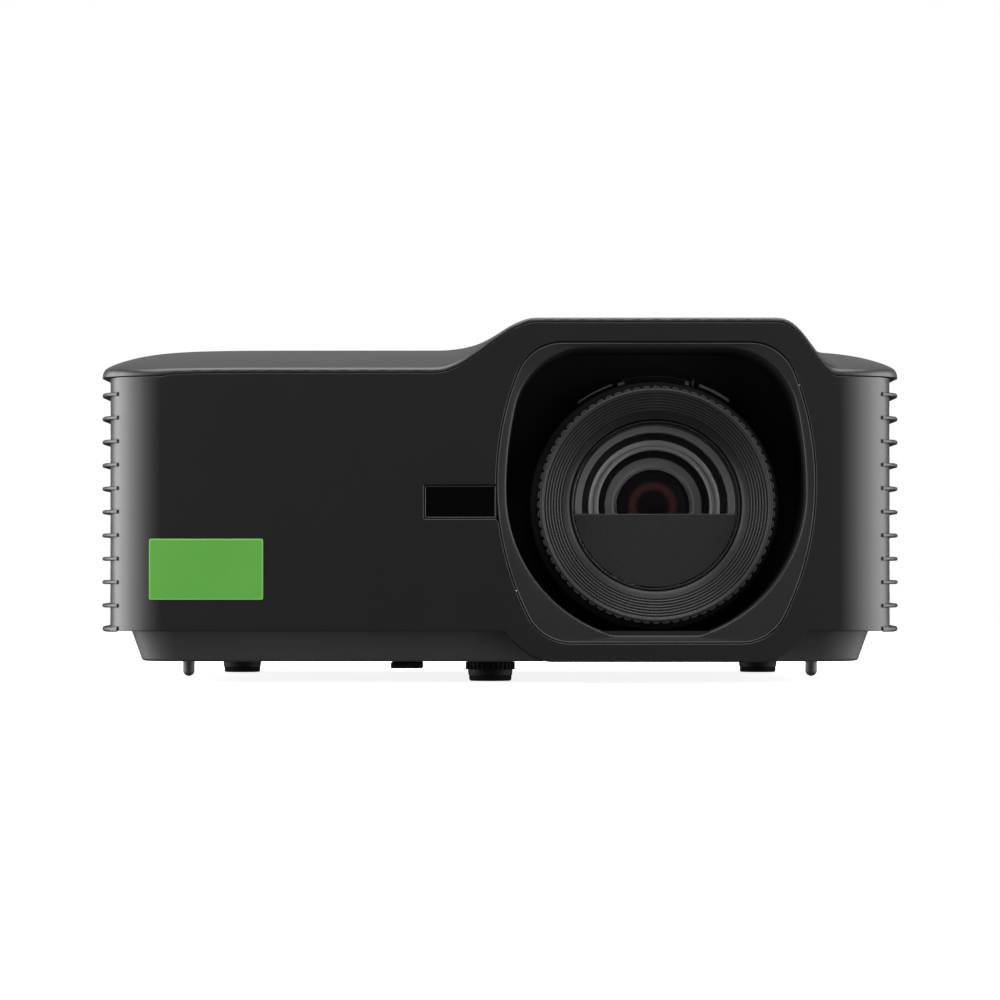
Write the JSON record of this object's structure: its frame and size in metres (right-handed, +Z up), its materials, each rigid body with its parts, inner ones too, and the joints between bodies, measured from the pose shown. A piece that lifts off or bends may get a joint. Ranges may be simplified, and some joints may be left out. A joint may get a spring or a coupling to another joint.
{
  "type": "home projector",
  "caption": "Compact home projector: a low casing with finned sides, a raised hood over a large lens with turning rings, adjustable feet, a keypad on top and connectors behind.",
  "frame": {"origin": "on the surface it stands on, under the middle of the casing's box", "axes": "+X right as seen from the lens side, +Y backwards (the lens faces -Y), +Z up"},
  "size_m": [0.286, 0.216, 0.129],
  "materials": {
    "satin_black_casing": "satin",
    "case_black": "satin",
    "grained_black": "grained",
    "gloss_black": "polished",
    "label_green": "printed film",
    "lens_ring_black": "satin",
    "coated_glass": "coated",
    "foot_rubber": "matte",
    "plated_steel": "plated",
    "cast_magnesium": "cast",
    "circuit_board": "solder mask",
    "status_lens": "clear"
  },
  "bodies": {
    "casing": {"front_bezel": "satin_black_casing", "front_ir_window": "gloss_black", "front_label": "label_green", "lens_recess_trim": "grained_black", "top_cover": "satin_black_casing", "bottom_case": "case_black", "left_fin_grille": "satin_black_casing", "right_fin_grille": "satin_black_casing", "rear_panel": "satin_black_casing", "rear_ir_window": "gloss_black", "case_screw_front_left": "plated_steel", "case_screw_front_right": "plated_steel", "case_screw_rear_left": "plated_steel", "case_screw_rear_right": "plated_steel", "peg_left": "case_black", "peg_right": "case_black", "underside_pad": "foot_rubber", "lens_barrel": "lens_ring_black", "lens_mask_plate": "grained_black", "front_lens_retainer": "lens_ring_black", "middle_lens_retainer": "lens_ring_black", "rear_lens_retainer": "lens_ring_black", "front_lens": "coated_glass", "middle_lens": "coated_glass", "rear_lens": "coated_glass", "light_engine_housing": "cast_magnesium", "dmd_board": "circuit_board", "dmd_heat_sink": "plated_steel", "phosphor_wheel_motor": "grained_black", "laser_module": "cast_magnesium", "laser_heat_sink": "plated_steel", "main_board": "circuit_board", "power_supply_board": "circuit_board", "speaker": "grained_black", "exhaust_fan_frame": "grained_black", "intake_fan_frame": "grained_black", "power_inlet": "grained_black", "hdmi_port_1": "plated_steel", "hdmi_port_2": "plated_steel", "usb_port": "plated_steel", "serial_port": "plated_steel", "audio_jack": "grained_black", "keypad_plate": "gloss_black", "status_light": "status_lens"},
    "focus_ring": {"focus_ring": "lens_ring_black"},
    "zoom_ring": {"zoom_ring": "lens_ring_black"},
    "front_foot": {"front_foot": "foot_rubber"},
    "rear_foot_left": {"rear_foot_left": "foot_rubber"},
    "rear_foot_right": {"rear_foot_right": "foot_rubber"},
    "exhaust_rotor": {"exhaust_fan_rotor": "grained_black"},
    "intake_rotor": {"intake_fan_rotor": "grained_black"},
    "phosphor_wheel": {"phosphor_wheel": "plated_steel"},
    "power_button": {"power_button": "lens_ring_black"},
    "source_button": {"source_button": "lens_ring_black"},
    "menu_button": {"menu_button": "lens_ring_black"},
    "arrow_up_button": {"arrow_up_button": "lens_ring_black"},
    "arrow_down_button": {"arrow_down_button": "lens_ring_black"},
    "arrow_left_button": {"arrow_left_button": "lens_ring_black"},
    "arrow_right_button": {"arrow_right_button": "lens_ring_black"},
    "enter_button": {"enter_button": "lens_ring_black"}
  },
  "joints": [
    {"name": "focus_turn", "type": "hinge", "parent": "casing", "child": "focus_ring", "pos_m": [0.0553, -0.092, 0.0629], "axis": [0, 1, 0], "range_deg": [-50, 50]},
    {"name": "zoom_turn", "type": "hinge", "parent": "casing", "child": "zoom_ring", "pos_m": [0.0553, -0.0725, 0.0629], "axis": [0, 1, 0], "range_deg": [-12, 12]},
    {"name": "front_foot_travel", "type": "slide", "parent": "casing", "child": "front_foot", "axis": [0, 0, -1], "range_m": [0, 0.012]},
    {"name": "rear_foot_left_travel", "type": "slide", "parent": "casing", "child": "rear_foot_left", "axis": [0, 0, -1], "range_m": [0, 0.006]},
    {"name": "rear_foot_right_travel", "type": "slide", "parent": "casing", "child": "rear_foot_right", "axis": [0, 0, -1], "range_m": [0, 0.006]},
    {"name": "exhaust_spin", "type": "hinge", "parent": "casing", "child": "exhaust_rotor", "pos_m": [-0.125, 0.032, 0.0626], "axis": [1, 0, 0], "continuous": true},
    {"name": "intake_spin", "type": "hinge", "parent": "casing", "child": "intake_rotor", "pos_m": [0.125, 0.046, 0.0626], "axis": [1, 0, 0], "continuous": true},
    {"name": "phosphor_spin", "type": "hinge", "parent": "casing", "child": "phosphor_wheel", "pos_m": [-0.0117, -0.0455, 0.066], "axis": [0, 1, 0], "continuous": true},
    {"name": "power_press", "type": "slide", "parent": "casing", "child": "power_button", "axis": [0, 0, -1], "range_m": [0, 0.0008], "stiffness_N_per_m": 400, "springref_m": -0.0008},
    {"name": "source_press", "type": "slide", "parent": "casing", "child": "source_button", "axis": [0, 0, -1], "range_m": [0, 0.0008], "stiffness_N_per_m": 400, "springref_m": -0.0008},
    {"name": "menu_press", "type": "slide", "parent": "casing", "child": "menu_button", "axis": [0, 0, -1], "range_m": [0, 0.0008], "stiffness_N_per_m": 400, "springref_m": -0.0008},
    {"name": "arrow_up_press", "type": "slide", "parent": "casing", "child": "arrow_up_button", "axis": [0, 0, -1], "range_m": [0, 0.0008], "stiffness_N_per_m": 400, "springref_m": -0.0008},
    {"name": "arrow_down_press", "type": "slide", "parent": "casing", "child": "arrow_down_button", "axis": [0, 0, -1], "range_m": [0, 0.0008], "stiffness_N_per_m": 400, "springref_m": -0.0008},
    {"name": "arrow_left_press", "type": "slide", "parent": "casing", "child": "arrow_left_button", "axis": [0, 0, -1], "range_m": [0, 0.0008], "stiffness_N_per_m": 400, "springref_m": -0.0008},
    {"name": "arrow_right_press", "type": "slide", "parent": "casing", "child": "arrow_right_button", "axis": [0, 0, -1], "range_m": [0, 0.0008], "stiffness_N_per_m": 400, "springref_m": -0.0008},
    {"name": "enter_press", "type": "slide", "parent": "casing", "child": "enter_button", "axis": [0, 0, -1], "range_m": [0, 0.0008], "stiffness_N_per_m": 400, "springref_m": -0.0008}
  ]
}
